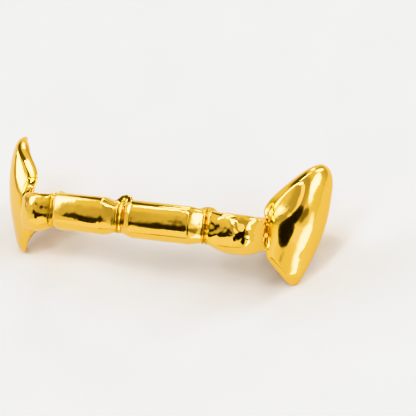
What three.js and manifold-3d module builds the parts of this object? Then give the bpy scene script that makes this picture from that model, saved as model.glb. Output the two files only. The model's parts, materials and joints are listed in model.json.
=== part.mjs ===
// Front bar fang grillz: a gold bar across the upper front teeth with a fang cap on each canine.
// Sizes are in millimetres. The parts are shaped as they are worn, with x across the mouth,
// y from the lips inwards and z from the biting edges up to the gum, and then laid on a table.

import * as THREE from 'three';
import { LoftGeometry } from 'three/addons/geometries/LoftGeometry.js';
import { mergeVertices } from 'three/addons/utils/BufferGeometryUtils.js';
import Module from 'manifold-3d';

// The dental arch: the bar's middle line is part of an ellipse, with the midline joint at its front
const ARCH_HALF_WIDTH = 19;
const ARCH_DEPTH = 13;

// The joints of the bar from the midline outwards, at an angle along the arch in degrees.
// The reach of each neck is from the middle line, and wedge is how far the metal behind it
// rises between two teeth.
const JOINTS = [
  { name: 'midline', angle: 0, top: 1.3, bottom: 1.4, front: 0.45, wedge: 1.35 },
  { name: 'incisor', angle: 28.4, top: 1.65, bottom: 1.55, front: 0.5, wedge: 0.6 },
  { name: 'canine', angle: 49.6, top: 1.25, bottom: 1.5, front: 0.05, wedge: 0.2 },
];

// The links between those joints; flare is the length of the curve from a lip to the full section,
// and its power is 1 for a flat slope
const LINKS = [
  { name: 'central', top: 1.9, bottom: 1.85, front: 1.2, flare: 1.35, flarePower: 1.2 },
  { name: 'lateral', top: 1.65, bottom: 2.3, front: 1.3, flare: 2.4, flarePower: 2 },
];

// The bar's section: a flat front with a tight upper edge, a round lower edge and a plain back
const UPPER_EDGE_POWER = 4.2;
const LOWER_EDGE_POWER = 2.5;
const BACK_EDGE_POWER = 3.2;
const BACK_AT_LINK = 0.75;
const BACK_AT_JOINT = 1.45;
const WEDGE_LENGTH = 0.95;
const WEDGE_FADE = [0.1, 1];

// A joint's groove and the lip on each side of it, measured along the bar
const LIP_OFFSET = 0.19;
const LIP_WIDTH = 0.085;
const LIP_HEIGHT = 0.13;
const GROOVE_WIDTH = 0.085;
const GROOVE_DEPTH = 0.12;
const LIP_END = 0.32;
const LIP_FADE = [-0.4, 0.1];
const LIP_STATIONS = [0, 0.06, 0.12, LIP_OFFSET, 0.26, LIP_END];

// The bar runs on past the canine joint into the fang, by an angle along the arch, and gets slimmer
const TENON_ANGLE = 6;
const TENON_RELIEF = { top: 0.5, bottom: 0.9 };

// A fang stands at the canine, turned from the front by the arch
const FANG_X = 16.07;
const FANG_Y = 7.67;
const FANG_TURN = 47;

// The fang's front outline as the corners of a smooth closed curve: a is towards the back of the
// mouth along the face and h is the height above the bar's middle line
const FANG_OUTLINE = [
  { name: 'mesial foot', a: -3.35, h: -2 },
  { name: 'lower edge', a: -2.4, h: -3 },
  { name: 'tip', a: 0.15, h: -5.2 },
  { name: 'distal low', a: 0.95, h: -3.35 },
  { name: 'distal belly', a: 2.15, h: 0.75 },
  { name: 'distal high', a: 2.5, h: 4 },
  { name: 'shoulder', a: 2.65, h: 6.55 },
  { name: 'apex', a: 1.4, h: 7.8 },
  { name: 'upper edge', a: -0.9, h: 6.55 },
  { name: 'mesial top', a: -4.05, h: 2.75 },
  { name: 'mesial shoulder', a: -3.85, h: 1.5 },
  { name: 'notch at the bar', a: -3.3, h: 0.2 },
];

// The fang's face is domed: its ridge bends back to the apex, and slowly to the lower half, which is
// straight down to a rounded tip; the face falls away from the ridge more steeply on its distal side
// than on its mesial side, where it gets steeper towards the gum
const RIDGE_DEPTH = 2.45;
const RIDGE_HEIGHT = 3.9;
const APEX_HEIGHT = 7.3;
const APEX_DROP = 0.7;
const RADIUS_TO_TIP = 16.6;
const STRAIGHT_BELOW = -1.3;
const TIP_BEND_BELOW = -3.6;
const RADIUS_AT_TIP = 1.6;
const RIDGE_OFFSET = 0.2;
const RADIUS_TO_MESIAL = 8;
const RADIUS_TO_MESIAL_HIGH = 3.3;
const MESIAL_BEND = [1, 4.8];
const RADIUS_TO_DISTAL = 4.2;
const FACE_CENTRE = { a: -0.2, h: 1.4 };

// The plate behind the face: its least thickness changes from the tip upwards between pairs of heights,
// and its rim is rolled over a share of that thickness in front and at the back; the back follows the
// tooth, which is flatter than the face
const TIP_THICKNESS = 0.45;
const BELLY_THICKNESS = 0.78;
const SHOULDER_THICKNESS = 1.28;
const APEX_THICKNESS = 0.72;
const TIP_TO_BELLY = [-4.8, -3.4];
const BELLY_TO_SHOULDER = [2.2, 5.5];
const SHOULDER_TO_APEX = [6.2, 7.5];
const RIM_WIDTH = 0.5;
const RIM_SHARE = 0.62;
const BACK_EDGE = 0.35;
const BACK_SHARE = 0.36;
const BACK_DEPTH = 1.25;
const BACK_HEIGHT = 2;
const BACK_RADIUS_UP = 20;
const BACK_RADIUS_ACROSS = 8;
const BACK_MIDDLE = 0.5;

// The cup behind the plate, from the tip to its rim, and the socket in it for the tooth
const CUP_FOOT = -4.3;
const CUP_RIM = 1.65;
const CUP_INSET = 0.4;
const CUP_FRONT_INSET = 0.45;
const CUP_POWER = 2.6;
const LINGUAL_FOOT = 0.05;
const LINGUAL_REACH = 6.2;
const LINGUAL_POWER = 2;
const CUP_LEAST_WIDTH = 0.3;
const CUP_LEAST_DEPTH = 0.4;
const SOCKET_FLOOR = -1.7;
const SOCKET_MOUTH = CUP_RIM + 0.6;
const CUP_WALL = 0.6;
const SOCKET_FRONT_INSET = 1.15;

// How finely the curves are divided
const BAR_SIDES = 24;
const RIM_SIDES = 60;
const CUP_SIDES = 36;
const FLARE_STEPS = 5;
const SHORTEST_STEP = 0.1;
const ROLL_STEPS = 4;
const FACE_RINGS = [0.1, 0.32, 0.54, 0.74, 0.9];
const BACK_RING = 0.5;
const OUTLINE_POINTS = 400;
const CUP_STEPS = 8;
const SOCKET_STEPS = 6;
const MERGE_DISTANCE = 1e-4;
const TILT_PASSES = 40;

const GOLD = { color: 0xe0a832, roughness: 0.12, metalness: 1 };

const radians = THREE.MathUtils.degToRad;
const lerp = THREE.MathUtils.lerp;
const clamp = THREE.MathUtils.clamp;
const smoothstep = THREE.MathUtils.smoothstep;

// Power curve for one quarter of a rounded section
function quarter(value, power) {
  return Math.sign(value) * Math.abs(value) ** (2 / power);
}

// A bell of height 1 over the given half width
function bell(distance, width) {
  return Math.exp(-((distance / width) ** 2));
}

// A flat-topped bell of height 1 over the given half width
function plateau(distance, width) {
  return Math.exp(-((distance / width) ** 4));
}

// A point of the bar's middle line, with the direction that faces the lips
function archPoint(angle) {
  const heading = Math.atan2(ARCH_DEPTH * Math.sin(angle), ARCH_HALF_WIDTH * Math.cos(angle));
  return {
    x: ARCH_HALF_WIDTH * Math.sin(angle),
    y: ARCH_DEPTH * (1 - Math.cos(angle)),
    front: { x: Math.sin(heading), y: -Math.cos(heading) },
  };
}

// One station of the bar, at a distance along the link from a joint: the neck flares out to the
// full section, and the lip stands above the neck with the groove sunk below it
function station(joint, link, angle, distance) {
  const flared = clamp((distance - LIP_END) / link.flare, 0, 1);
  const swell = 1 - (1 - flared) ** link.flarePower;
  const near = bell(distance, WEDGE_LENGTH);
  const lip = LIP_HEIGHT * bell(distance - LIP_OFFSET, LIP_WIDTH);
  const groove = GROOVE_DEPTH * bell(distance, GROOVE_WIDTH);
  return {
    angle,
    top: lerp(joint.top, link.top, swell),
    bottom: lerp(joint.bottom, link.bottom, swell),
    front: lerp(joint.front, link.front, swell),
    back: lerp(BACK_AT_LINK, BACK_AT_JOINT, near),
    wedge: joint.wedge * plateau(distance, WEDGE_LENGTH),
    relief: lip - groove,
  };
}

// Distances from a joint to the middle of its link, close together at the lip and in the flare
function stationDistances(link, half) {
  const distances = [...LIP_STATIONS];
  for (let step = 1; step <= FLARE_STEPS; step += 1) {
    distances.push(LIP_END + (link.flare * step) / FLARE_STEPS);
  }
  return distances.filter((distance) => distance < half - SHORTEST_STEP);
}

// All stations of one half of the bar, from the midline to the canine joint and into the fang
function halfBarStations() {
  const stations = [];
  LINKS.forEach((link, index) => {
    const inner = JOINTS[index];
    const outer = JOINTS[index + 1];
    const start = radians(inner.angle);
    const end = radians(outer.angle);
    const from = archPoint(start);
    const to = archPoint(end);
    const length = Math.hypot(to.x - from.x, to.y - from.y);
    const angleAt = (distance) => lerp(start, end, distance / length);
    const distances = stationDistances(link, length / 2);
    distances.forEach((distance) => stations.push(station(inner, link, angleAt(distance), distance)));
    stations.push(station(inner, link, angleAt(length / 2), length / 2));
    distances.reverse().forEach((distance) => {
      if (distance > 0) {
        stations.push(station(outer, link, angleAt(length - distance), distance));
      }
    });
  });
  const canine = JOINTS[JOINTS.length - 1];
  const groove = station(canine, LINKS[LINKS.length - 1], radians(canine.angle), 0);
  const tenon = { ...groove, angle: radians(canine.angle + TENON_ANGLE) };
  Object.entries(TENON_RELIEF).forEach(([direction, relief]) => {
    tenon[direction] -= relief;
  });
  stations.push(groove, tenon);
  return stations;
}

// The closed section of the bar at a station
function barSection({ angle, top, bottom, front, back, wedge, relief }) {
  const middle = archPoint(angle);
  const points = [];
  for (let side = 0; side < BAR_SIDES; side += 1) {
    const turn = (2 * Math.PI * side) / BAR_SIDES;
    const forward = Math.cos(turn);
    const upward = -Math.sin(turn);
    const edge = upward > 0 ? UPPER_EDGE_POWER : LOWER_EDGE_POWER;
    const power = forward > 0 ? edge : BACK_EDGE_POWER;
    const raised = relief * smoothstep(forward, ...LIP_FADE);
    const out = quarter(forward, power) * (forward > 0 ? front + raised : back);
    const rise = wedge * smoothstep(-out, ...WEDGE_FADE) * Math.max(upward, 0);
    const height = quarter(upward, power) * ((upward > 0 ? top : bottom) + raised) + rise;
    const x = middle.x + middle.front.x * out;
    const y = middle.y + middle.front.y * out;
    points.push(new THREE.Vector3(x, y, height));
  }
  return points;
}

// The whole bar, from one fang to the other
function barGeometry() {
  const right = halfBarStations();
  const left = right.slice(1).reverse().map((row) => ({ ...row, angle: -row.angle }));
  const sections = [...left, ...right].map(barSection);
  return new LoftGeometry(sections, { capStart: true, capEnd: true });
}

// The fang's outline as a smooth closed path of quadratic curves
function fangPath() {
  const corners = FANG_OUTLINE.map(({ a, h }) => new THREE.Vector2(a, h));
  const middles = corners.map((corner, index) => {
    const next = corners[(index + 1) % corners.length];
    return corner.clone().lerp(next, 0.5);
  });
  const path = new THREE.Path();
  const last = middles[middles.length - 1];
  path.moveTo(last.x, last.y);
  corners.forEach((corner, index) => {
    path.quadraticCurveTo(corner.x, corner.y, middles[index].x, middles[index].y);
  });
  return path;
}

// The ridge of the face at a height
function ridgeDepth(h) {
  if (h > RIDGE_HEIGHT) {
    return RIDGE_DEPTH - APEX_DROP * ((h - RIDGE_HEIGHT) / (APEX_HEIGHT - RIDGE_HEIGHT)) ** 3;
  }
  const curved = Math.max(h, STRAIGHT_BELOW);
  const drop = (curved - RIDGE_HEIGHT) ** 2 / 2 + (curved - h) * (RIDGE_HEIGHT - curved);
  const bend = Math.max(TIP_BEND_BELOW - h, 0) ** 2 / (2 * RADIUS_AT_TIP);
  return RIDGE_DEPTH - drop / RADIUS_TO_TIP - bend;
}

// The depth of the domed face towards the lips
function faceDepth(a, h) {
  const bend = smoothstep(h, ...MESIAL_BEND);
  const mesial = lerp(1 / RADIUS_TO_MESIAL, 1 / RADIUS_TO_MESIAL_HIGH, bend);
  const curvature = a > RIDGE_OFFSET ? 1 / RADIUS_TO_DISTAL : mesial;
  return ridgeDepth(h) - ((a - RIDGE_OFFSET) ** 2 / 2) * curvature;
}

// The least thickness of the plate at a height
function plateThickness(h) {
  const low = lerp(TIP_THICKNESS, BELLY_THICKNESS, smoothstep(h, ...TIP_TO_BELLY));
  const middle = lerp(low, SHOULDER_THICKNESS, smoothstep(h, ...BELLY_TO_SHOULDER));
  return lerp(middle, APEX_THICKNESS, smoothstep(h, ...SHOULDER_TO_APEX));
}

// A point given along the fang's face, towards the lips and up, placed in the mouth
function fangPoint(a, b, h) {
  const turn = radians(FANG_TURN);
  const x = FANG_X + a * Math.cos(turn) + b * Math.sin(turn);
  const y = FANG_Y + a * Math.sin(turn) - b * Math.cos(turn);
  return new THREE.Vector3(x, y, h);
}

// The depth of the plate's back
function backDepth(a, h) {
  const up = Math.max(BACK_HEIGHT - h, 0) ** 2 / (2 * BACK_RADIUS_UP);
  const across = (a - RIDGE_OFFSET) ** 2 / (2 * BACK_RADIUS_ACROSS);
  return Math.min(BACK_DEPTH - up - across, faceDepth(a, h) - plateThickness(h));
}

// One ring of the plate: the outline drawn in by inset and shrunk to a share of its size, on the
// face or on the back, and moved from there towards the lips by a share of the thickness
function plateRing(outline, { share, inset, depth, shift }) {
  return outline.map(({ point, inward }) => {
    const a = lerp(FACE_CENTRE.a, point.x + inward.x * inset, share);
    const h = lerp(FACE_CENTRE.h, point.y + inward.y * inset, share);
    return fangPoint(a, depth(a, h) + shift * plateThickness(h), h);
  });
}

// The fang's front plate, ring by ring from the middle of the face round the rim to the back
function plateGeometry(path) {
  const outline = [];
  for (let side = 0; side < RIM_SIDES; side += 1) {
    const share = side / RIM_SIDES;
    const tangent = path.getTangentAt(share);
    outline.push({ point: path.getPointAt(share), inward: { x: -tangent.y, y: tangent.x } });
  }
  const rings = FACE_RINGS.map((share) => ({ share, inset: RIM_WIDTH, depth: faceDepth, shift: 0 }));
  for (let step = 0; step <= ROLL_STEPS; step += 1) {
    const roll = (Math.PI / 2) * (step / ROLL_STEPS);
    const inset = RIM_WIDTH * (1 - Math.sin(roll));
    rings.push({ share: 1, inset, depth: faceDepth, shift: RIM_SHARE * (Math.cos(roll) - 1) });
  }
  rings.push({ share: 1, inset: 0, depth: backDepth, shift: BACK_SHARE });
  rings.push({ share: 1, inset: BACK_EDGE, depth: backDepth, shift: 0 });
  rings.push({ share: BACK_RING, inset: BACK_EDGE, depth: backDepth, shift: 0 });
  rings.push({ share: FACE_RINGS[0], inset: BACK_EDGE, depth: backDepth, shift: -BACK_MIDDLE });
  const sections = rings.reverse().map((ring) => plateRing(outline, ring));
  return new LoftGeometry(sections, { capStart: true, capEnd: true });
}

// The narrowest and widest reach of the outline at a height
function outlineSpan(path, h) {
  const points = path.getSpacedPoints(OUTLINE_POINTS);
  const crossings = [];
  for (let index = 1; index < points.length; index += 1) {
    const from = points[index - 1];
    const to = points[index];
    if ((from.y - h) * (to.y - h) <= 0 && from.y !== to.y) {
      crossings.push(lerp(from.x, to.x, (h - from.y) / (to.y - from.y)));
    }
  }
  return { low: Math.min(...crossings), high: Math.max(...crossings) };
}

// How far the cup reaches behind the face at a height, from the tip to the rim
function lingualDepth(h) {
  const rise = (h - CUP_FOOT) / (CUP_RIM - CUP_FOOT);
  return -lerp(LINGUAL_FOOT, LINGUAL_REACH, rise ** LINGUAL_POWER);
}

// A rounded level section of the cup or of its socket
function cupSection(path, h, sideInset, frontInset, backInset) {
  const span = outlineSpan(path, Math.min(h, CUP_RIM));
  const middle = (span.low + span.high) / 2;
  const halfWidth = Math.max((span.high - span.low) / 2 - sideInset, CUP_LEAST_WIDTH / 2);
  const front = ridgeDepth(h) - frontInset;
  const back = Math.min(lingualDepth(h) + backInset, front - CUP_LEAST_DEPTH);
  const points = [];
  for (let side = 0; side < CUP_SIDES; side += 1) {
    const turn = (2 * Math.PI * side) / CUP_SIDES;
    const a = middle + halfWidth * quarter(Math.cos(turn), CUP_POWER);
    const b = (front + back) / 2 - ((front - back) / 2) * quarter(Math.sin(turn), CUP_POWER);
    points.push(fangPoint(a, b, h));
  }
  return points;
}

// The cup or its socket as level sections between two heights
function cupGeometry(path, low, high, steps, insets) {
  const sections = [];
  for (let step = 0; step <= steps; step += 1) {
    sections.push(cupSection(path, lerp(low, high, step / steps), ...insets));
  }
  return new LoftGeometry(sections, { capStart: true, capEnd: true });
}

const wasm = await Module();
wasm.setup();

// A closed mesh as a solid that can be joined and cut
function solidOf(geometry) {
  const bare = new THREE.BufferGeometry();
  bare.setAttribute('position', geometry.attributes.position);
  bare.setIndex(geometry.index);
  const merged = mergeVertices(bare, MERGE_DISTANCE);
  const mesh = new wasm.Mesh({
    numProp: 3,
    vertProperties: new Float32Array(merged.attributes.position.array),
    triVerts: new Uint32Array(merged.index.array),
  });
  return new wasm.Manifold(mesh);
}

// The mesh of a finished solid
function geometryOf(solid) {
  const { vertProperties, triVerts } = solid.getMesh();
  const geometry = new THREE.BufferGeometry();
  geometry.setAttribute('position', new THREE.BufferAttribute(vertProperties, 3));
  geometry.setIndex(new THREE.BufferAttribute(triVerts, 1));
  geometry.computeVertexNormals();
  return geometry;
}

// One fang cap, as worn on the right, and the socket that is cut out of it
function fangSolids() {
  const path = fangPath();
  const plate = solidOf(plateGeometry(path));
  const cupInsets = [CUP_INSET, CUP_FRONT_INSET, 0];
  const cup = solidOf(cupGeometry(path, CUP_FOOT, CUP_RIM, CUP_STEPS, cupInsets));
  const socketInsets = [CUP_INSET + CUP_WALL, SOCKET_FRONT_INSET, CUP_WALL];
  const socket = solidOf(cupGeometry(path, SOCKET_FLOOR, SOCKET_MOUTH, SOCKET_STEPS, socketInsets));
  return { cap: plate.add(cup), socket };
}

// The angle at which the fang tips and the cup rims touch the table together
function restTilt(position) {
  const lowest = (tilt, wanted) => {
    let low = Infinity;
    for (let index = 0; index < position.count; index += 1) {
      const z = position.getZ(index);
      if (wanted(z)) {
        low = Math.min(low, z * Math.sin(tilt) - position.getY(index) * Math.cos(tilt));
      }
    }
    return low;
  };
  let small = 0;
  let large = Math.PI / 2;
  for (let pass = 0; pass < TILT_PASSES; pass += 1) {
    const tilt = (small + large) / 2;
    const tipIsHigher = lowest(tilt, (z) => z < 0) > lowest(tilt, (z) => z >= 0);
    if (tipIsHigher) {
      small = tilt;
    } else {
      large = tilt;
    }
  }
  return (small + large) / 2;
}

// The sockets are cut last, so that the ends of the bar stop at their walls
const { cap, socket } = fangSolids();
const filled = solidOf(barGeometry()).add(cap).add(cap.mirror([1, 0, 0]));
const geometry = geometryOf(filled.subtract(socket).subtract(socket.mirror([1, 0, 0])));

const grillz = new THREE.Mesh(geometry, new THREE.MeshStandardMaterial(GOLD));
grillz.name = 'grillz';

// Laid on its back with the front up, standing on the fang tips and the rims of the cups
grillz.rotation.x = restTilt(geometry.attributes.position) - Math.PI / 2;
const part = new THREE.Group();
part.add(grillz);
part.updateMatrixWorld(true);
const box = new THREE.Box3().setFromObject(part, true);
grillz.position.set(-(box.min.x + box.max.x) / 2, -(box.min.y + box.max.y) / 2, -box.min.z);

export default part;
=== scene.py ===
"""Looks of the front bar fang grillz: a polished gold bar for the front teeth with a fang cap at each end.

The jewel is drawn in millimetres as it is worn: x runs across the mouth, y from the lips inwards and
z from the biting edges up to the gum. A Seating then lays it on its back in the part's frame, in metres.
"""

import json
import logging
import math
from dataclasses import dataclass, field
from enum import Enum
from typing import Callable, Iterable, Iterator, Sequence

import bmesh
import bpy
from mathutils import Matrix, Vector


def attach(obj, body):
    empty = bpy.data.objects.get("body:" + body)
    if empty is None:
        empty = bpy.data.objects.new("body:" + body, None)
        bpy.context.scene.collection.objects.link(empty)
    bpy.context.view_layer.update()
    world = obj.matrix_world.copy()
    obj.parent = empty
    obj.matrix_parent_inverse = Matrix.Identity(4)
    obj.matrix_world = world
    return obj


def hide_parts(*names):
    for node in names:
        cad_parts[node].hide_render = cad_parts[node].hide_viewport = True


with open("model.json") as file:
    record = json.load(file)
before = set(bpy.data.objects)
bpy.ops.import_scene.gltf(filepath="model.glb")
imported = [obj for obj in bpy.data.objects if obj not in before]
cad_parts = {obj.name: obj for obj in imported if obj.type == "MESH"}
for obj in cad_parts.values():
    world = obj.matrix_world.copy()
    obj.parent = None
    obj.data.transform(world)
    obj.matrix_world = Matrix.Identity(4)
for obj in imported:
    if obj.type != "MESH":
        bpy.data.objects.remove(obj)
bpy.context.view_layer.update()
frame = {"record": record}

MM = 0.001
NOISE_MIDDLE = 0.5
log = logging.getLogger("grillz")


def lerp(low: float, high: float, share: float) -> float:
    """The number a share of the way from low to high."""
    return low + (high - low) * share


def clamp(value: float) -> float:
    """The value kept between 0 and 1."""
    return min(max(value, 0.0), 1.0)


def smoothstep(value: float, edges: tuple[float, float]) -> float:
    """A smooth step from 0 at the first edge to 1 at the second.

    Args:
        value: Where the step is read.
        edges: Where it starts and ends.

    Returns:
        A number from 0 to 1.
    """
    share = clamp((value - edges[0]) / (edges[1] - edges[0]))
    return share * share * (3.0 - 2.0 * share)


def bell(distance: float, width: float) -> float:
    """A bell of height 1 over the given half width."""
    return math.exp(-((distance / width) ** 2))


def plateau(distance: float, width: float) -> float:
    """A flat-topped bell of height 1 over the given half width."""
    return math.exp(-((distance / width) ** 4))


def quarter(value: float, power: float) -> float:
    """The power curve for one quarter of a rounded section."""
    return math.copysign(abs(value) ** (2.0 / power), value)


class RingSkin:
    """A closed skin that is drawn as one ring of points after another."""

    def __init__(self, sides: int) -> None:
        """Starts with one open circle.

        Args:
            sides: How many points a ring has.
        """
        self.mesh = bmesh.new()
        made = bmesh.ops.create_circle(self.mesh, cap_ends=False, segments=sides, radius=1.0)
        self.ring = sorted(made["verts"], key=lambda vert: math.atan2(vert.co.y, vert.co.x) % math.tau)
        self.drawn = False

    def _ring_edges(self) -> list[bmesh.types.BMEdge]:
        """The edges of the newest ring."""
        return [self.mesh.edges.get(pair) for pair in zip(self.ring, self.ring[1:] + self.ring[:1])]

    def add(self, points: Iterable[Vector]) -> None:
        """Draws the next ring by extruding the last one.

        Args:
            points: Where the points of the new ring go, in millimetres.
        """
        if self.drawn:
            made = bmesh.ops.extrude_edge_only(self.mesh, edges=self._ring_edges())
            fresh = {part for part in made["geom"] if isinstance(part, bmesh.types.BMVert)}
            self.ring = [self._partner(vert, fresh) for vert in self.ring]
        else:
            bmesh.ops.edgeloop_fill(self.mesh, edges=self._ring_edges())
        for vert, point in zip(self.ring, points):
            vert.co = point
        self.drawn = True

    @staticmethod
    def _partner(vert: bmesh.types.BMVert, fresh: set[bmesh.types.BMVert]) -> bmesh.types.BMVert:
        """The extruded copy of a vertex."""
        return next(edge.other_vert(vert) for edge in vert.link_edges if edge.other_vert(vert) in fresh)

    def close(self, name: str) -> bpy.types.Object:
        """Caps the last ring and turns the skin into an object.

        Args:
            name: The object's name.

        Returns:
            The closed object, in millimetres.
        """
        bmesh.ops.edgeloop_fill(self.mesh, edges=self._ring_edges())
        bmesh.ops.recalc_face_normals(self.mesh, faces=self.mesh.faces)
        return object_of(self.mesh, name)


def object_of(mesh: bmesh.types.BMesh, name: str) -> bpy.types.Object:
    """Makes a linked object of a bmesh and frees the bmesh.

    Args:
        mesh: The shape.
        name: The name of the object and its mesh.

    Returns:
        The new object.
    """
    data = bpy.data.meshes.new(name)
    mesh.to_mesh(data)
    mesh.free()
    made = bpy.data.objects.new(name, data)
    bpy.context.scene.collection.objects.link(made)
    return made


class Fuse(Enum):
    """How one solid is put together with another."""

    JOIN = "UNION"
    CUT = "DIFFERENCE"


class Side(Enum):
    """Which side of the jewel a face is on, as the number kept on the face."""

    OUTER = 0
    INNER = 1


def fused(body: bpy.types.Object, tool: bpy.types.Object, how: Fuse) -> bpy.types.Object:
    """Joins a solid with another or cuts it by another, and removes the other.

    Args:
        body: The solid that is kept.
        tool: The solid that is joined to it or cut out of it.
        how: Whether it is joined or cut.

    Returns:
        The body, with its new mesh.
    """
    step = body.modifiers.new("fuse", "BOOLEAN")
    step.operation = how.value
    step.solver = "MANIFOLD"
    step.material_mode = "INDEX"
    step.object = tool
    drawn = body.evaluated_get(bpy.context.evaluated_depsgraph_get())
    old = body.data
    new = bpy.data.meshes.new_from_object(drawn)
    body.modifiers.remove(step)
    body.data = new
    bpy.data.meshes.remove(old)
    bpy.data.meshes.remove(tool.data)
    return body


@dataclass(frozen=True)
class Seating:
    """Where the worn jewel lies in the part's frame, read from the record's seat on the teeth."""

    mount: str = "tooth_seat"
    back_at_joint: float = 1.45

    def to_part(self) -> Matrix:
        """The matrix from worn millimetres to the part's metres."""
        seat = next(row for row in frame["record"]["mounts"] if row["name"] == self.mount)
        inwards = Vector(seat["axis"]).normalized()
        across = Vector((1.0, 0.0, 0.0))
        gumwards = across.cross(inwards)
        start = Vector(seat["pos_m"]) - inwards * self.back_at_joint * MM
        turn = Matrix((across, inwards, gumwards)).transposed()
        return Matrix.Translation(start) @ turn.to_4x4() @ Matrix.Scale(MM, 4)


@dataclass(frozen=True)
class DentalArch:
    """The ellipse that the bar's middle line follows, with the midline joint at its front."""

    half_width: float = 19.0
    depth: float = 13.0

    def middle(self, angle: float) -> Vector:
        """The point of the middle line at an angle along the arch."""
        return Vector((self.half_width * math.sin(angle), self.depth * (1.0 - math.cos(angle)), 0.0))

    def front(self, angle: float) -> Vector:
        """The level direction that faces the lips at an angle along the arch."""
        heading = math.atan2(self.depth * math.sin(angle), self.half_width * math.cos(angle))
        return Vector((math.sin(heading), -math.cos(heading), 0.0))

    def angle(self, point: Vector) -> float:
        """The angle along the arch of a point near the middle line."""
        return math.atan2(point.x / self.half_width, 1.0 - point.y / self.depth)

    def pace(self, angle: float) -> float:
        """How many millimetres of the middle line one radian covers there."""
        return math.hypot(self.half_width * math.cos(angle), self.depth * math.sin(angle))


@dataclass(frozen=True)
class Joint:
    """A neck of the bar: its angle along the arch in degrees and its reach from the middle line."""

    name: str
    angle: float
    top: float
    bottom: float
    front: float
    wedge: float


@dataclass(frozen=True)
class Link:
    """A swollen stretch of the bar between two joints.

    The flare is the way from a lip to the full section, and its power is 1 for a flat slope.
    """

    name: str
    top: float
    bottom: float
    front: float
    flare: float
    flare_power: float


@dataclass(frozen=True)
class Station:
    """One section of the bar along the arch."""

    angle: float
    top: float
    bottom: float
    front: float
    back: float
    wedge: float
    relief: float


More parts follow.
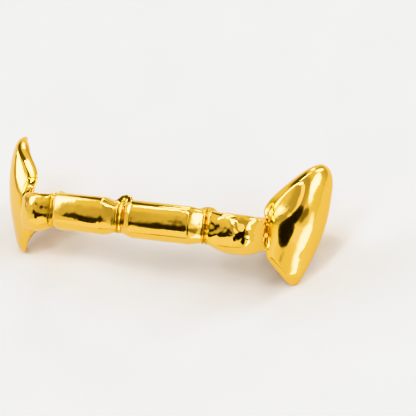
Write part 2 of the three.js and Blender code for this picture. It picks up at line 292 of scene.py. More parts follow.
@dataclass
class Bar:
    """The bar of soft links, with a groove between two lips at each joint."""

    arch: DentalArch
    joints: tuple[Joint, ...] = (
        Joint("midline", 0.0, top=1.3, bottom=1.4, front=0.45, wedge=1.35),
        Joint("incisor", 28.4, top=1.65, bottom=1.55, front=0.5, wedge=0.6),
        Joint("canine", 49.6, top=1.25, bottom=1.5, front=0.05, wedge=0.2),
    )
    links: tuple[Link, ...] = (
        Link("central", top=1.9, bottom=1.85, front=1.2, flare=1.35, flare_power=1.2),
        Link("lateral", top=1.65, bottom=2.3, front=1.3, flare=2.4, flare_power=2.0),
    )
    upper_edge_power: float = 4.2
    lower_edge_power: float = 2.5
    back_edge_power: float = 3.2
    back_at_link: float = 0.75
    back_at_joint: float = Seating.back_at_joint
    wedge_length: float = 0.95
    wedge_fade: tuple[float, float] = (0.1, 1.0)
    lip_offset: float = 0.19
    lip_width: float = 0.085
    lip_height: float = 0.13
    groove_width: float = 0.085
    groove_depth: float = 0.12
    lip_end: float = 0.32
    lip_fade: tuple[float, float] = (-0.4, 0.1)
    tenon_angle: float = 6.0
    tenon_relief: dict[str, float] = field(default_factory=lambda: {"top": 0.5, "bottom": 0.9})
    recess_width: float = 0.3
    central_unevenness: float = 0.12
    lateral_unevenness: tuple[float, float] = (0.45, 1.0)
    worked_fade: float = 0.08
    worked_heights: tuple[float, float] = (-1.5, -0.5)
    lower_share: float = 0.3
    sides: int = 96
    lip_step: float = 0.022
    flare_step: float = 0.075
    panel_step: float = 0.25

    def station(self, joint: Joint, link: Link, angle: float, distance: float) -> Station:
        """The bar's section at a distance along a link from one of its joints.

        Args:
            joint: The nearer joint.
            link: The link.
            angle: The section's angle along the arch, in radians.
            distance: How far the section is from the joint, in millimetres.

        Returns:
            The section's reach in each direction and its lip or groove.
        """
        flared = clamp((distance - self.lip_end) / link.flare)
        swell = 1.0 - (1.0 - flared) ** link.flare_power
        near = bell(distance, self.wedge_length)
        lip = self.lip_height * bell(distance - self.lip_offset, self.lip_width)
        groove = self.groove_depth * bell(distance, self.groove_width)
        return Station(
            angle,
            top=lerp(joint.top, link.top, swell),
            bottom=lerp(joint.bottom, link.bottom, swell),
            front=lerp(joint.front, link.front, swell),
            back=lerp(self.back_at_link, self.back_at_joint, near),
            wedge=joint.wedge * plateau(distance, self.wedge_length),
            relief=lip - groove,
        )

    def distances(self, link: Link, half: float) -> list[float]:
        """Distances of the sections from a joint to the middle of its link.

        Args:
            link: The link.
            half: Half the link's length.

        Returns:
            The distances, close together at the lips and in the flare.
        """
        found = [0.0]
        while found[-1] < half:
            if found[-1] < self.lip_end:
                step = self.lip_step
            elif found[-1] < self.lip_end + link.flare:
                step = self.flare_step
            else:
                step = self.panel_step
            found.append(found[-1] + step)
        return [distance for distance in found if distance < half - self.lip_step] + [half]

    def half_stations(self) -> Iterator[Station]:
        """The sections of the right half, from the midline into the fang."""
        for link, inner, outer in zip(self.links, self.joints, self.joints[1:]):
            start, end = math.radians(inner.angle), math.radians(outer.angle)
            length = (self.arch.middle(end) - self.arch.middle(start)).length
            distances = self.distances(link, length / 2.0)
            for distance in distances:
                yield self.station(inner, link, lerp(start, end, distance / length), distance)
            for distance in distances[-2:0:-1]:
                yield self.station(outer, link, lerp(end, start, distance / length), distance)
        canine = self.joints[-1]
        groove = self.station(canine, self.links[-1], math.radians(canine.angle), 0.0)
        yield groove
        slim = {side: getattr(groove, side) - cut for side, cut in self.tenon_relief.items()}
        yield Station(**{**vars(groove), **slim, "angle": math.radians(canine.angle + self.tenon_angle)})

    def section(self, station: Station) -> Iterator[Vector]:
        """The points of one closed section.

        Args:
            station: The section's sizes and place.

        Yields:
            The points, in worn millimetres.
        """
        middle, front = self.arch.middle(station.angle), self.arch.front(station.angle)
        for side in range(self.sides):
            turn = math.tau * side / self.sides
            forward, upward = math.cos(turn), math.sin(turn)
            edge = self.upper_edge_power if upward > 0.0 else self.lower_edge_power
            power = edge if forward > 0.0 else self.back_edge_power
            raised = station.relief * smoothstep(forward, self.lip_fade)
            reach = station.front + raised if forward > 0.0 else station.back
            out = quarter(forward, power) * reach
            rise = station.wedge * smoothstep(-out, self.wedge_fade) * max(upward, 0.0)
            tall = station.top if upward > 0.0 else station.bottom
            height = quarter(upward, power) * (tall + raised) + rise
            yield middle + front * out + Vector((0.0, 0.0, height))

    def build(self) -> bpy.types.Object:
        """Draws the whole bar from one fang to the other.

        Returns:
            The bar's solid, in worn millimetres.
        """
        right = list(self.half_stations())
        left = [Station(**{**vars(row), "angle": -row.angle}) for row in right[:0:-1]]
        skin = RingSkin(self.sides)
        for station in left + right:
            skin.add(self.section(station))
        return skin.close("bar")

    def recess(self, point: Vector) -> float:
        """How far into a joint's groove a point of the jewel lies.

        Args:
            point: A point, in worn millimetres.

        Returns:
            A number from 0 away from the grooves to 1 in one.
        """
        angle = self.arch.angle(point)
        aside = (point - self.arch.middle(angle)).xy.length
        if aside > self.back_at_joint:
            return 0.0
        pace = self.arch.pace(angle)
        gaps = (abs(abs(angle) - math.radians(joint.angle)) * pace for joint in self.joints)
        return bell(min(gaps), self.recess_width)

    def worked(self, point: Vector) -> float:
        """How uneven the hand polish is at a point of the jewel.

        Args:
            point: A point, in worn millimetres.

        Returns:
            0 on the fangs, a little on the central links and the most on the upper part of a lateral link.
        """
        angle = abs(self.arch.angle(point))
        incisor, canine = (math.radians(joint.angle) for joint in self.joints[1:])
        if angle > canine:
            return 0.0
        height = smoothstep(point.z, self.worked_heights)
        lateral = self.lateral_unevenness[point.x > 0.0] * lerp(self.lower_share, 1.0, height)
        outwards = smoothstep(angle, (incisor - self.worked_fade, incisor))
        return lerp(self.central_unevenness, lateral, outwards)


@dataclass(frozen=True)
class Corner:
    """A corner of the fang's outline: a runs towards the back of the mouth and h is the height."""

    name: str
    a: float
    h: float


@dataclass
class FangOutline:
    """The fang's front outline, a smooth closed curve drawn in by its corners."""

    corners: tuple[Corner, ...] = (
        Corner("mesial foot", -3.35, -2.0),
        Corner("lower edge", -2.4, -3.0),
        Corner("tip", 0.15, -5.2),
        Corner("distal low", 0.95, -3.35),
        Corner("distal belly", 2.15, 0.75),
        Corner("distal high", 2.5, 4.0),
        Corner("shoulder", 2.65, 6.55),
        Corner("apex", 1.4, 7.8),
        Corner("upper edge", -0.9, 6.55),
        Corner("mesial top", -4.05, 2.75),
        Corner("mesial shoulder", -3.85, 1.5),
        Corner("notch at the bar", -3.3, 0.2),
    )
    fineness: int = 60

    def __post_init__(self) -> None:
        """Walks the curve once, so that points can be read at even paces along it."""
        ends = [Vector((corner.a, corner.h)) for corner in self.corners]
        self.path: list[Vector] = []
        for before, here, after in zip(ends[-1:] + ends[:-1], ends, ends[1:] + ends[:1]):
            start, end = before.lerp(here, 0.5), here.lerp(after, 0.5)
            for step in range(self.fineness):
                share = step / self.fineness
                self.path.append(start.lerp(here, share).lerp(here.lerp(end, share), share))
        self.path.append(self.path[0].copy())
        self.walked = [0.0]
        for before, here in zip(self.path, self.path[1:]):
            self.walked.append(self.walked[-1] + (here - before).length)

    def rim(self, sides: int) -> list[tuple[Vector, Vector]]:
        """Evenly spaced points of the outline with the direction inwards at each.

        Args:
            sides: How many points are wanted.

        Returns:
            Pairs of a point and a unit direction.
        """
        found = []
        index = 0
        for side in range(sides):
            wanted = self.walked[-1] * side / sides
            while self.walked[index + 1] <= wanted:
                index += 1
            here, after = self.path[index], self.path[index + 1]
            share = (wanted - self.walked[index]) / (self.walked[index + 1] - self.walked[index])
            along = (after - here).normalized()
            found.append((here.lerp(after, share), Vector((-along.y, along.x))))
        return found

    def span(self, height: float) -> tuple[float, float]:
        """The lowest and highest reach along the face at a height."""
        crossings = []
        for here, after in zip(self.path, self.path[1:]):
            if (here.y - height) * (after.y - height) <= 0.0 and here.y != after.y:
                crossings.append(lerp(here.x, after.x, (height - here.y) / (after.y - here.y)))
        return min(crossings), max(crossings)


@dataclass
class FangCap:
    """A canine's cap: a domed fang face with a rolled rim, and behind it an open cup for the tooth."""

    outline: FangOutline = field(default_factory=FangOutline)
    place: tuple[float, float] = (16.07, 7.67)
    turn: float = 47.0
    ridge_depth: float = 2.45
    ridge_height: float = 3.9
    straight_below: float = -1.3
    radius_to_tip: float = 16.6
    tip_bend_below: float = -3.6
    radius_at_tip: float = 1.6
    apex_height: float = 7.3
    apex_drop: float = 0.7
    ridge_offset: float = 0.2
    radius_to_mesial: float = 8.0
    radius_to_mesial_high: float = 3.3
    mesial_bend: tuple[float, float] = (1.0, 4.8)
    radius_to_distal: float = 4.2
    face_centre: tuple[float, float] = (-0.2, 1.4)
    rim_width: float = 0.5
    rim_share: float = 0.62
    tip_thickness: float = 0.45
    belly_thickness: float = 0.78
    shoulder_thickness: float = 1.28
    apex_thickness: float = 0.72
    tip_to_belly: tuple[float, float] = (-4.8, -3.4)
    belly_to_shoulder: tuple[float, float] = (2.2, 5.5)
    shoulder_to_apex: tuple[float, float] = (6.2, 7.5)
    back_edge: float = 0.35
    back_share: float = 0.36
    back_depth: float = 1.25
    back_height: float = 2.0
    back_radius_up: float = 20.0
    back_radius_across: float = 8.0
    cup_foot: float = -4.3
    cup_rim: float = 1.65
    cup_inset: float = 0.4
    cup_front_inset: float = 0.45
    cup_power: float = 2.6
    lingual_foot: float = 0.05
    lingual_reach: float = 6.2
    lingual_power: float = 2.0
    cup_least_width: float = 0.3
    cup_least_depth: float = 0.4
    cup_wall: float = 0.6
    socket_floor: float = -1.7
    socket_mouth: float = 2.25
    socket_front_inset: float = 1.15
    rim_sides: int = 216
    face_rings: int = 26
    roll_steps: int = 10
    back_rings: int = 10
    pole_share: float = 0.012
    cup_sides: int = 96
    cup_steps: int = 40

    def point(self, a: float, b: float, h: float) -> Vector:
        """A point given along the face, towards the lips and up, placed in the mouth."""
        turn = math.radians(self.turn)
        x = self.place[0] + a * math.cos(turn) + b * math.sin(turn)
        y = self.place[1] + a * math.sin(turn) - b * math.cos(turn)
        return Vector((x, y, h))

    def ridge(self, h: float) -> float:
        """The depth of the face's ridge at a height."""
        if h > self.ridge_height:
            rise = (h - self.ridge_height) / (self.apex_height - self.ridge_height)
            return self.ridge_depth - self.apex_drop * rise**3
        curved = max(h, self.straight_below)
        drop = (curved - self.ridge_height) ** 2 / 2.0 + (curved - h) * (self.ridge_height - curved)
        bend = max(self.tip_bend_below - h, 0.0) ** 2 / (2.0 * self.radius_at_tip)
        return self.ridge_depth - drop / self.radius_to_tip - bend

    def face(self, a: float, h: float) -> float:
        """The depth of the domed face towards the lips."""
        aside = (a - self.ridge_offset) ** 2 / 2.0
        if a > self.ridge_offset:
            return self.ridge(h) - aside / self.radius_to_distal
        bend = smoothstep(h, self.mesial_bend)
        curve = lerp(1.0 / self.radius_to_mesial, 1.0 / self.radius_to_mesial_high, bend)
        return self.ridge(h) - aside * curve

    def thickness(self, h: float) -> float:
        """How thick the plate is at a height."""
        low = lerp(self.tip_thickness, self.belly_thickness, smoothstep(h, self.tip_to_belly))
        middle = lerp(low, self.shoulder_thickness, smoothstep(h, self.belly_to_shoulder))
        return lerp(middle, self.apex_thickness, smoothstep(h, self.shoulder_to_apex))

    def back(self, a: float, h: float) -> float:
        """The depth of the plate's back."""
        up = max(self.back_height - h, 0.0) ** 2 / (2.0 * self.back_radius_up)
        across = (a - self.ridge_offset) ** 2 / (2.0 * self.back_radius_across)
        return min(self.back_depth - up - across, self.face(a, h) - self.thickness(h))

    def plate_ring(
        self,
        rim: Sequence[tuple[Vector, Vector]],
        share: float,
        inset: float,
        depth: Callable[[float, float], float],
        shift: float = 0.0,
    ) -> Iterator[Vector]:
        """One ring of the plate.

        Args:
            rim: The outline's points with their directions inwards.
            share: How large the ring is against the outline, about the middle of the face.
            inset: How far the outline is drawn in before it is shrunk.
            depth: The surface that the ring lies on.
            shift: How far the ring is moved from that surface towards the lips, against the thickness.

        Yields:
            The ring's points, in worn millimetres.
        """
        for spot, inward in rim:
            a = lerp(self.face_centre[0], spot.x + inward.x * inset, share)
            h = lerp(self.face_centre[1], spot.y + inward.y * inset, share)
            yield self.point(a, depth(a, h) + shift * self.thickness(h), h)

    def plate(self) -> bpy.types.Object:
        """Draws the front plate, from the middle of the face round the rim to the middle of the back."""
        rim = self.outline.rim(self.rim_sides)
        skin = RingSkin(self.rim_sides)
        for step in range(self.face_rings):
            share = lerp(self.pole_share, 1.0, step / self.face_rings)
            skin.add(self.plate_ring(rim, share, self.rim_width, self.face))
        for step in range(self.roll_steps + 1):
            roll = math.pi / 2.0 * step / self.roll_steps
            inset = self.rim_width * (1.0 - math.sin(roll))
            skin.add(self.plate_ring(rim, 1.0, inset, self.face, self.rim_share * (math.cos(roll) - 1.0)))
        for step in range(self.roll_steps + 1):
            roll = math.pi / 2.0 * step / self.roll_steps
            inset = self.back_edge * (1.0 - math.cos(roll))
            skin.add(self.plate_ring(rim, 1.0, inset, self.back, self.back_share * (1.0 - math.sin(roll))))
        for step in range(1, self.back_rings + 1):
            share = lerp(1.0, self.pole_share, step / self.back_rings)
            skin.add(self.plate_ring(rim, share, self.back_edge, self.back))
        return skin.close("plate")

    def lingual(self, h: float) -> float:
        """How far behind the face the cup reaches at a height."""
        rise = (h - self.cup_foot) / (self.cup_rim - self.cup_foot)
        return -lerp(self.lingual_foot, self.lingual_reach, rise**self.lingual_power)

    def cup_section(self, h: float, side: float, front: float, back: float) -> Iterator[Vector]:
        """A rounded level section of the cup or of its socket.

        Args:
            h: The section's height.
            side: How far it is drawn in from the outline at both sides.
            front: How far it is drawn in from the face.
            back: How far it is drawn in from the cup's own back.

        Yields:
            The section's points, in worn millimetres.
        """
        low, high = self.outline.span(min(h, self.cup_rim))
        half = max((high - low) / 2.0 - side, self.cup_least_width / 2.0)
        near = self.ridge(h) - front
        far = min(self.lingual(h) + back, near - self.cup_least_depth)
        for step in range(self.cup_sides):
            turn = math.tau * step / self.cup_sides
            a = (low + high) / 2.0 + half * quarter(math.cos(turn), self.cup_power)
            b = (near + far) / 2.0 + (near - far) / 2.0 * quarter(math.sin(turn), self.cup_power)
            yield self.point(a, b, h)

    def cup(
        self,
        name: str,
        low: float,
        high: float,
        insets: tuple[float, float, float],
    ) -> bpy.types.Object:
        """Draws the cup or its socket between two heights.

        Args:
            name: The object's name.
            low: The height of the lowest section.
            high: The height of the highest section.
            insets: How far its sections are drawn in at the sides, the front and the back.

        Returns:
            The solid, in worn millimetres.
        """
        skin = RingSkin(self.cup_sides)
        for step in range(self.cup_steps + 1):
            skin.add(self.cup_section(lerp(low, high, step / self.cup_steps), *insets))
        return skin.close(name)

    def build(self) -> tuple[bpy.types.Object, bpy.types.Object]:
        """Joins the plate and the cup, and draws the socket that is cut out of them later.

        Returns:
            The right cap's solid and its socket, in worn millimetres.
        """
        solid = self.plate()
        outer = (self.cup_inset, self.cup_front_inset, 0.0)
        inner = (self.cup_inset + self.cup_wall, self.socket_front_inset, self.cup_wall)
        fused(solid, self.cup("cup", self.cup_foot, self.cup_rim, outer), Fuse.JOIN)
        socket = self.cup("socket", self.socket_floor, self.socket_mouth, inner)
        for face in socket.data.polygons:
            face.material_index = Side.INNER.value
        return solid, socket


class Wire:
    """A value in a node tree that Python arithmetic can be written with."""

    def __init__(self, graph: "Graph", socket: bpy.types.NodeSocket) -> None:
        """Wraps an output socket of a graph."""
        self.graph = graph
        self.socket = socket

    def _math(self, operation: str, first: "Wire | float", second: "Wire | float") -> "Wire":
        """Adds one Math node."""
        return self.graph.node("ShaderNodeMath", {"operation": operation}, {0: first, 1: second})

    def __add__(self, other: "Wire | float") -> "Wire":
        """Adds."""
        return self._math("ADD", self, other)

    def __sub__(self, other: "Wire | float") -> "Wire":
        """Subtracts."""
        return self._math("SUBTRACT", self, other)

    def __rsub__(self, other: float) -> "Wire":
        """Subtracts from a number."""
        return self._math("SUBTRACT", other, self)

    def __mul__(self, other: "Wire | float") -> "Wire":
        """Multiplies."""
        return self._math("MULTIPLY", self, other)

    __radd__ = __add__
    __rmul__ = __mul__


class Graph:
    """The node tree of a material or of the surround."""

    def __init__(self, owner: bpy.types.Material | bpy.types.World) -> None:
        """Empties the owner's node tree.

        Args:
            owner: The new material or surround.
        """
        owner.use_nodes = True
        self.owner = owner
        self.tree = owner.node_tree
        self.tree.nodes.clear()

    def node(
        self,
        kind: str,
        settings: dict[str, object] | None = None,
        inputs: dict[int | str, object] | None = None,
        output: int | str = 0,
    ) -> Wire:
        """Adds one node.

        Args:
            kind: The node's type.
            settings: What is set on the node itself.
            inputs: The values or wires of its sockets.
            output: Which of its outputs is wanted.

        Returns:
            The wanted output.
        """
        made = self.tree.nodes.new(kind)
        for key, value in (settings or {}).items():
            setattr(made, key, value)
        for key, value in (inputs or {}).items():
            if isinstance(value, Wire):
                self.tree.links.new(value.socket, made.inputs[key])
            else:
                made.inputs[key].default_value = value
        return Wire(self, made.outputs[output])

    def place(self) -> Wire:
        """The surface point in the part's own frame."""
        return self.node("ShaderNodeTexCoord", output="Object")

    def noise(self, grain: float, detail: float = 1.0) -> Wire:
        """A soft noise over the surface.

        Args:
            grain: The size of one lump, in millimetres.
            detail: How much finer noise is added.

        Returns:
            A value about 0.5.
        """
        inputs = {"Vector": self.place(), "Scale": 1.0 / (grain * MM), "Detail": detail}
        return self.node("ShaderNodeTexNoise", inputs=inputs, output="Fac")

    def spread(self, value: Wire, low: float, high: float) -> Wire:
        """A noise stretched so that it runs from 0 at low to 1 at high."""
        settings = {"interpolation_type": "SMOOTHSTEP"}
        inputs = {"Value": value, "From Min": low, "From Max": high}
        return self.node("ShaderNodeMapRange", settings, inputs)

    def mixed(self, share: Wire, first: tuple[float, ...] | Wire, second: tuple[float, ...] | Wire) -> Wire:
        """A colour a share of the way from the first to the second."""
        settings = {"data_type": "RGBA"}
        return self.node("ShaderNodeMix", settings, {0: share, 6: first, 7: second}, output=2)

    def dot(self, first: Wire, second: Vector) -> Wire:
        """How far one direction reaches along another."""
        settings = {"operation": "DOT_PRODUCT"}
        return self.node("ShaderNodeVectorMath", settings, {0: first, 1: second}, output="Value")

    def angle(self, operation: str, *reach: Wire) -> Wire:
        """An inverse angle function of one or two values, in degrees."""
        radians = self.node("ShaderNodeMath", {"operation": operation}, dict(enumerate(reach)))
        return radians * math.degrees(1.0)

    def attribute(self, name: str) -> Wire:
        """A number kept on the mesh."""
        return self.node("ShaderNodeAttribute", {"attribute_name": name}, output="Fac")

    def surface(self, inputs: dict[str, object]) -> bpy.types.Material:
        """Ends a material's tree with its shader.

        Args:
            inputs: The values and wires of the shader's sockets.

        Returns:
            The finished material.
        """
        shader = self.node("ShaderNodeBsdfPrincipled", inputs=inputs)
        self.finish("ShaderNodeOutputMaterial", shader)
        return self.owner

    def finish(self, kind: str, shader: Wire) -> None:
        """Links a shader to a new output node of the given type."""
        end = self.tree.nodes.new(kind)
        self.tree.links.new(shader.socket, end.inputs["Surface"])


@dataclass(frozen=True)
class PolishedGold:
    """Mirror-polished yellow gold with painted shade darkening the joints' grooves, and satin on the side
    that meets the teeth.
    """

    name: str = "polished_gold"
    bright: tuple[float, float, float, float] = (0.98, 0.62, 0.12, 1.0)
    # The next colour is painted shade: the darker, more orange gold that the joints' grooves are tinted
    # towards.
    groove_shade_tone: tuple[float, float, float, float] = (0.68, 0.405, 0.014, 1.0)
    satin_tone: tuple[float, float, float, float] = (0.88, 0.57, 0.15, 1.0)
    # How far a groove's colour goes towards that painted shade colour.
    mirror: float = 0.045
    groove_shade_share: float = 0.85
    smudge_tone: float = 0.06
    smudge: float = 0.05
    hairline: float = 0.03
    groove_rough: float = 0.08
    satin_rough: float = 0.36
    wave_grain: float = 3.2
    ripple_grain: float = 1.1
    ripple_share: float = 0.2
    worked_share: float = 2.2
    wave_height: float = 0.05
    smudge_grain: float = 4.5
    smudge_edges: tuple[float, float] = (0.35, 0.7)
    hairline_grain: float = 0.16
    hairline_edges: tuple[float, float] = (0.45, 0.75)
    cast_grain: float = 0.22
    cast_share: float = 0.25

    def material(self) -> bpy.types.Material:
        """Makes the gold's material.

        Returns:
            The material, which reads the mesh's recess, worked and satin numbers.
        """
        graph = Graph(bpy.data.materials.new(self.name))
        recess = graph.attribute("recess")
        satin = graph.attribute("satin")
        worked = graph.attribute("worked")
        smudge = graph.spread(graph.noise(self.smudge_grain, detail=2.0), *self.smudge_edges)
        hairline = graph.spread(graph.noise(self.hairline_grain, detail=2.0), *self.hairline_edges)
        wear = self.smudge * smudge + self.hairline * hairline
        polished = self.mirror + wear + self.groove_rough * recess
        rough = polished + satin * (self.satin_rough - polished)
        # Painted shade in the grooves, plus random darker smudges.
        groove_shade_and_smudge = self.groove_shade_share * recess + self.smudge_tone * smudge
        tone = graph.mixed(groove_shade_and_smudge, self.bright, self.groove_shade_tone)
        tone = graph.mixed(satin, tone, self.satin_tone)
        wave = graph.noise(self.wave_grain, detail=0.5)
        ripple = graph.noise(self.ripple_grain, detail=1.0)
        cast = graph.noise(self.cast_grain, detail=3.0)
        uneven = self.ripple_share + self.worked_share * worked
        height = wave + uneven * ripple + self.cast_share * satin * cast
        normal = graph.node(
            "ShaderNodeBump",
            inputs={"Height": height, "Strength": 1.0, "Distance": self.wave_height * MM},
        )
        return graph.surface({"Base Color": tone, "Roughness": rough, "Metallic": 1.0, "Normal": normal})


@dataclass(frozen=True)
class PaleFloor:
    """A plain matt floor with a faint unevenness."""

    name: str = "pale_floor"
    light: tuple[float, float, float, float] = (0.59, 0.487, 0.335, 1.0)
    dim: tuple[float, float, float, float] = (0.575, 0.474, 0.326, 1.0)
    rough: float = 0.6
    gloss: float = 0.0
    grain: float = 9.0
    cloud_edges: tuple[float, float] = (0.3, 0.7)

    def material(self) -> bpy.types.Material:
        """Makes the floor's material."""
        graph = Graph(bpy.data.materials.new(self.name))
        cloud = graph.spread(graph.noise(self.grain, detail=3.0), *self.cloud_edges)
        tone = graph.mixed(cloud, self.light, self.dim)
        finish = {"Roughness": self.rough, "Specular IOR Level": self.gloss}
        return graph.surface({"Base Color": tone, **finish})


@dataclass
class Grillz:
    """The whole jewel: the bar and the two fang caps, fused into one piece of gold."""

    seating: Seating = field(default_factory=Seating)
    arch: DentalArch = field(default_factory=DentalArch)
    gold: PolishedGold = field(default_factory=PolishedGold)
    body: str = "root"
    node: str = "grillz"
    slot: str = "gold"
    merge: float = 1e-4
    crease: float = 38.0
    satin_from: tuple[float, float] = (0.35, 0.75)

    def __post_init__(self) -> None:
        """Sets the bar on the arch."""
        self.bar = Bar(self.arch)

    def build(self) -> bpy.types.Object:
        """Builds the bar and the caps and fuses them in worn millimetres.

        Returns:
            The fused object.
        """
        piece = self.bar.build()
        log.info("bar: %d faces", len(piece.data.polygons))
        cap, socket = FangCap().build()
        log.info("fang cap: %d faces", len(cap.data.polygons))
        for solid, how in ((cap, Fuse.JOIN), (socket, Fuse.CUT)):
            for half in (self.mirrored(solid), solid):
                fused(piece, half, how)
        piece.name = piece.data.name = "grillz_gold"
        return piece

    @staticmethod
    def mirrored(solid: bpy.types.Object) -> bpy.types.Object:
        """A copy of a cap or socket for the other side of the mouth."""
        mesh = bmesh.new()
        mesh.from_mesh(solid.data)
        bmesh.ops.scale(mesh, vec=(-1.0, 1.0, 1.0), verts=mesh.verts)
        bmesh.ops.reverse_faces(mesh, faces=mesh.faces)
        return object_of(mesh, f"left_{solid.name}")

    def clean(self, piece: bpy.types.Object) -> None:
        """Merges what the fusing left double and splits its many-sided faces."""
        mesh = bmesh.new()
        mesh.from_mesh(piece.data)
        bmesh.ops.remove_doubles(mesh, verts=mesh.verts, dist=self.merge)
        bmesh.ops.dissolve_degenerate(mesh, edges=mesh.edges, dist=self.merge)
        wide = [face for face in mesh.faces if len(face.verts) > 4]
        bmesh.ops.triangulate(mesh, faces=wide)
        mesh.to_mesh(piece.data)
        mesh.free()

    def mark(self, piece: bpy.types.Object) -> None:
        """Keeps on the mesh where the grooves and the uneven polish are and which side meets the teeth.

        Args:
            piece: The fused jewel, still in worn millimetres.
        """
        data = piece.data
        # The recess number also sets where the gold is tinted with painted shade.
        recess = data.attributes.new("recess", "FLOAT", "POINT")
        worked = data.attributes.new("worked", "FLOAT", "POINT")
        for vert in data.vertices:
            recess.data[vert.index].value = self.bar.recess(vert.co)
            worked.data[vert.index].value = self.bar.worked(vert.co)
        satin = data.attributes.new("satin", "FLOAT", "CORNER")
        for face in data.polygons:
            for corner in face.loop_indices:
                spot = data.vertices[data.loops[corner].vertex_index]
                inwards = -spot.normal.dot(self.arch.front(self.arch.angle(spot.co)))
                inner = face.material_index == Side.INNER.value
                satin.data[corner].value = 1.0 if inner else smoothstep(inwards, self.satin_from)
        for face in data.polygons:
            face.material_index = Side.OUTER.value

    def dress(self, piece: bpy.types.Object) -> None:
        """Lays the jewel in the part's frame, smooths it and gives it its gold.

        Args:
            piece: The fused jewel in worn millimetres.
        """
        self.clean(piece)
        self.mark(piece)
        piece.data.transform(self.seating.to_part())
        piece.data.shade_smooth()
        piece.data.set_sharp_from_angle(angle=math.radians(self.crease))
        piece.data.materials.clear()
        piece.data.materials.append(self.gold.material())
        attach(piece, self.body)
        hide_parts(self.node)
        log.info("%s: %d faces", piece.name, len(piece.data.polygons))


@dataclass(frozen=True)
class Patch:
    """A soft-edged oval of the light tent; its place and half sizes are in degrees about the worn jewel."""

    name: str
    bearing: float
    pitch: float
    width: float
    height: float
    level: float
    edge: float = 0.2
    turn: float = 0.0

    def mask(self, graph: Graph, bearing: Wire, pitch: Wire) -> Wire:
        """How much of the patch shows in a direction.

        Args:
            graph: The surround's node tree.
            bearing: The direction's angle round the mouth, in degrees.
            pitch: Its angle above the level of the bar, in degrees.

        Returns:
            A value from 0 outside the patch to 1 inside it.
        """
        side, rise = bearing - self.bearing, pitch - self.pitch
        lean, level = math.sin(math.radians(self.turn)), math.cos(math.radians(self.turn))
        across = (side * level + rise * lean) * (1.0 / self.width)
        upward = (rise * level - side * lean) * (1.0 / self.height)
        return graph.spread(across * across + upward * upward, 1.0 + self.edge, 1.0 - self.edge)


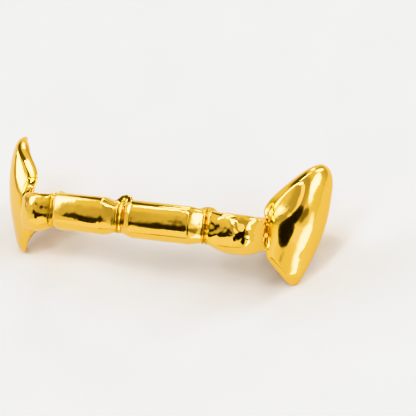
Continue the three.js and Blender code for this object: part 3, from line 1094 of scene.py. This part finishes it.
@dataclass(frozen=True)
class LightTent:
    """A white tent of soft light about the jewel, with lamps behind its walls and dark gaps in front."""

    name: str = "light_tent"
    wall: float = 0.9
    patches: tuple[Patch, ...] = (
        Patch("back wall", bearing=180.0, pitch=60.0, width=95.0, height=60.0, level=0.6, edge=0.5),
        Patch("lower wall", bearing=-20.0, pitch=-1.0, width=55.0, height=6.0, level=0.65, edge=0.9),
        Patch("right wall", bearing=30.0, pitch=17.0, width=25.0, height=19.0, level=0.55, edge=0.6),
        Patch("left wall", bearing=-100.0, pitch=6.0, width=17.0, height=9.0, level=0.45, edge=0.6),
        Patch("table side", bearing=0.0, pitch=-66.0, width=400.0, height=50.0, level=1.5, edge=0.05),
        Patch("table edge", bearing=-5.0, pitch=-52.0, width=60.0, height=9.0, level=0.65, edge=0.8),
        Patch("right table", bearing=42.0, pitch=-36.0, width=16.0, height=9.0, level=1.0, edge=0.6),
        Patch("upper gap", bearing=-35.0, pitch=51.0, width=70.0, height=14.0, level=0.12, edge=0.4),
        Patch("upper front lamp", bearing=-15.0, pitch=26.5, width=14.0, height=4.0, level=13.0, turn=33.0),
        Patch("small front lamp", bearing=14.0, pitch=18.5, width=16.0, height=3.0, level=12.0, turn=-20.0),
        Patch("upper left lamp", bearing=-62.0, pitch=26.0, width=13.0, height=6.0, level=7.0, edge=0.5),
        Patch("top lamp", bearing=-4.0, pitch=58.0, width=22.0, height=5.0, level=12.0, turn=40.0),
        Patch("left top lamp", bearing=-95.0, pitch=79.0, width=30.0, height=7.0, level=12.0, edge=0.3),
        Patch("right top lamp", bearing=92.0, pitch=53.0, width=20.0, height=10.0, level=10.0, edge=0.3),
        Patch("left wall lamp", bearing=-69.5, pitch=12.5, width=12.0, height=12.0, level=13.0),
        Patch("right upper lamp", bearing=72.0, pitch=20.0, width=24.0, height=8.5, level=13.0, turn=46.0),
        Patch(
            "right lower lamp",
            bearing=67.0,
            pitch=-27.0,
            width=8.0,
            height=17.0,
            level=9.0,
            edge=0.8,
            turn=-22.0,
        ),
        Patch("right slit", bearing=31.0, pitch=7.0, width=4.5, height=6.5, level=2.2, edge=0.4),
        Patch("thin dark gap", bearing=-53.0, pitch=-4.5, width=8.0, height=4.0, level=0.04, edge=0.4),
        Patch("left dark gap", bearing=-46.0, pitch=-10.0, width=7.5, height=8.5, level=0.02, edge=0.4),
        Patch("middle dark gap", bearing=-31.0, pitch=-8.0, width=11.0, height=5.5, level=0.02, edge=0.4),
        Patch("right dark gap", bearing=-4.0, pitch=-9.0, width=22.0, height=9.0, level=0.02, edge=0.4),
        Patch("side shade", bearing=55.0, pitch=-8.0, width=7.0, height=5.0, level=0.25, edge=0.5),
        Patch("front opening", bearing=38.0, pitch=-8.0, width=10.5, height=9.0, level=0.01),
        Patch("lower opening", bearing=36.5, pitch=-20.5, width=10.0, height=12.3, level=0.01, turn=25.0),
    )
    shade_tint: tuple[float, float, float, float] = (1.0, 0.8, 0.6, 1.0)
    wall_tint: tuple[float, float, float, float] = (1.0, 0.98, 0.86, 1.0)
    lamp_tint: tuple[float, float, float, float] = (0.9, 1.2, 2.0, 1.0)
    shade_levels: tuple[float, float] = (0.1, 0.9)
    lamp_levels: tuple[float, float] = (1.2, 8.0)
    fold_size: float = 0.2
    fold_turn: float = 7.0
    fold_detail: float = 2.0
    fold_seeds: tuple[float, float] = (1.0, 2.0)
    uneven_size: float = 0.45
    uneven_detail: float = 3.0
    uneven: float = 0.5

    def build(self, to_part: Matrix) -> None:
        """Makes the tent the scene's surround.

        Args:
            to_part: The matrix from the worn frame, which the tent stands upright in.
        """
        world = bpy.data.worlds.new(self.name)
        graph = Graph(world)
        away = graph.node("ShaderNodeTexCoord", output="Generated")
        across, inwards, gumwards = (column.normalized() for column in to_part.to_3x3().transposed())
        side = graph.dot(away, across)
        front = graph.dot(away, -inwards)
        fold = {"Vector": away, "Scale": 1.0 / self.fold_size, "Detail": self.fold_detail}
        across_fold, upward_fold = (
            graph.node("ShaderNodeTexNoise", {"noise_dimensions": "4D"}, {**fold, "W": seed})
            for seed in self.fold_seeds
        )
        bearing = graph.angle("ARCTAN2", side, front)
        bearing = bearing + (across_fold - NOISE_MIDDLE) * self.fold_turn
        pitch = graph.angle("ARCSINE", graph.dot(away, gumwards))
        pitch = pitch + (upward_fold - NOISE_MIDDLE) * self.fold_turn
        level = self.wall
        for patch in self.patches:
            mask = patch.mask(graph, bearing, pitch)
            level = level + mask * (patch.level - level)
        cloth = {"Vector": away, "Scale": 1.0 / self.uneven_size, "Detail": self.uneven_detail}
        weave = graph.node("ShaderNodeTexNoise", inputs=cloth)
        level = level * ((weave - NOISE_MIDDLE) * self.uneven + 1.0)
        tint = graph.mixed(graph.spread(level, *self.shade_levels), self.shade_tint, self.wall_tint)
        tint = graph.mixed(graph.spread(level, *self.lamp_levels), tint, self.lamp_tint)
        light = graph.node("ShaderNodeBackground", inputs={"Color": tint, "Strength": level})
        graph.finish("ShaderNodeOutputWorld", light)
        bpy.context.scene.world = world
        log.info("light tent: %d patches", len(self.patches))


@dataclass
class Studio:
    """The floor, the light tent and the camera."""

    seating: Seating = field(default_factory=Seating)
    floor: PaleFloor = field(default_factory=PaleFloor)
    tent: LightTent = field(default_factory=LightTent)
    floor_reach: float = 1.5
    azimuth: float = 30.3
    elevation: float = -0.85
    roll: float = 6.6
    target: tuple[float, float, float] = (9.93, 0.0, 1.9)
    distance: float = 250.0
    pixels_per_mm: float = 10.28
    frame_pixels: int = 416
    sensor: float = 36.0
    clip: tuple[float, float] = (0.01, 10.0)

    def build(self) -> None:
        """Makes the floor, the light tent and the camera."""
        mesh = bmesh.new()
        bmesh.ops.create_grid(mesh, x_segments=1, y_segments=1, size=self.floor_reach)
        ground = object_of(mesh, "floor")
        ground.data.materials.append(self.floor.material())
        self.tent.build(self.seating.to_part())
        bpy.context.scene.view_settings.view_transform = "Khronos PBR Neutral"
        self.camera()
        log.info("studio: floor and camera")

    def camera(self) -> None:
        """Places the camera at the viewing angle, which is given about the jewel as it is worn."""
        around, up = math.radians(self.azimuth), math.radians(self.elevation)
        right = Vector((math.cos(around), math.sin(around), 0.0))
        level = math.cos(up)
        back = Vector((math.sin(around) * level, -math.cos(around) * level, math.sin(up)))
        roll = math.radians(self.roll)
        above = back.cross(right)
        across = right * math.cos(roll) + above * math.sin(roll)
        upright = above * math.cos(roll) - right * math.sin(roll)
        to_part = self.seating.to_part()
        turn = to_part.to_3x3().normalized() @ Matrix((across, upright, back)).transposed()
        data = bpy.data.cameras.new("camera")
        data.sensor_width = self.sensor
        data.lens = self.sensor * self.pixels_per_mm * self.distance / self.frame_pixels
        data.clip_start, data.clip_end = self.clip
        made = bpy.data.objects.new("camera", data)
        made.location = to_part @ (Vector(self.target) + back * self.distance)
        made.rotation_euler = turn.to_euler()
        bpy.context.scene.collection.objects.link(made)
        bpy.context.scene.camera = made


def main() -> None:
    """Builds the jewel and the studio in order."""
    logging.basicConfig(level=logging.INFO, format="%(name)s: %(message)s")
    jewel = Grillz()
    jewel.dress(jewel.build())
    Studio().build()


if __name__ == "__main__":
    main()
